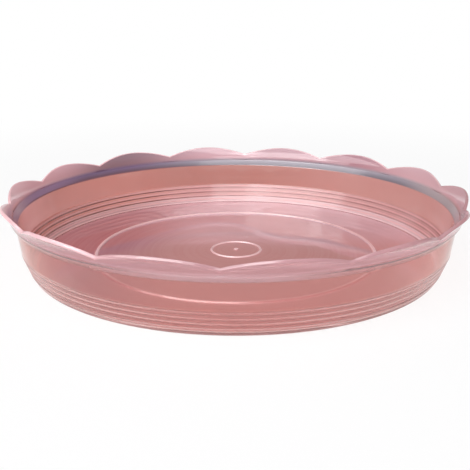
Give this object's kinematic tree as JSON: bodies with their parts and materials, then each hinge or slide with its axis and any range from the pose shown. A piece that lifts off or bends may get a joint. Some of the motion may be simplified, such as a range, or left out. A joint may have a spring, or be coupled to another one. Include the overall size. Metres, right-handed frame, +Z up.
{
  "type": "plant saucer",
  "caption": "Round clear plastic plant saucer with a flared rim scalloped into petals, a leaning ribbed wall and a flat floor with a raised ring for the pot to stand on",
  "frame": {"origin": "middle of the flat underside, on the plane that the saucer stands on", "axes": "+Z up along the saucer's axis; +X through the tip of a petal; +Y through a rim notch"},
  "size_m": [0.2558, 0.2518, 0.0391],
  "materials": {
    "clear_plastic": "clear gloss with a rose tint"
  },
  "bodies": {
    "root": {"floor_panel": "clear_plastic", "gate_nub": "clear_plastic", "centre_ring": "clear_plastic", "pot_ring": "clear_plastic", "base_corner": "clear_plastic", "ribbed_wall": "clear_plastic", "side_wall": "clear_plastic", "shoulder_band": "clear_plastic", "petal_rim": "clear_plastic"}
  },
  "joints": []
}
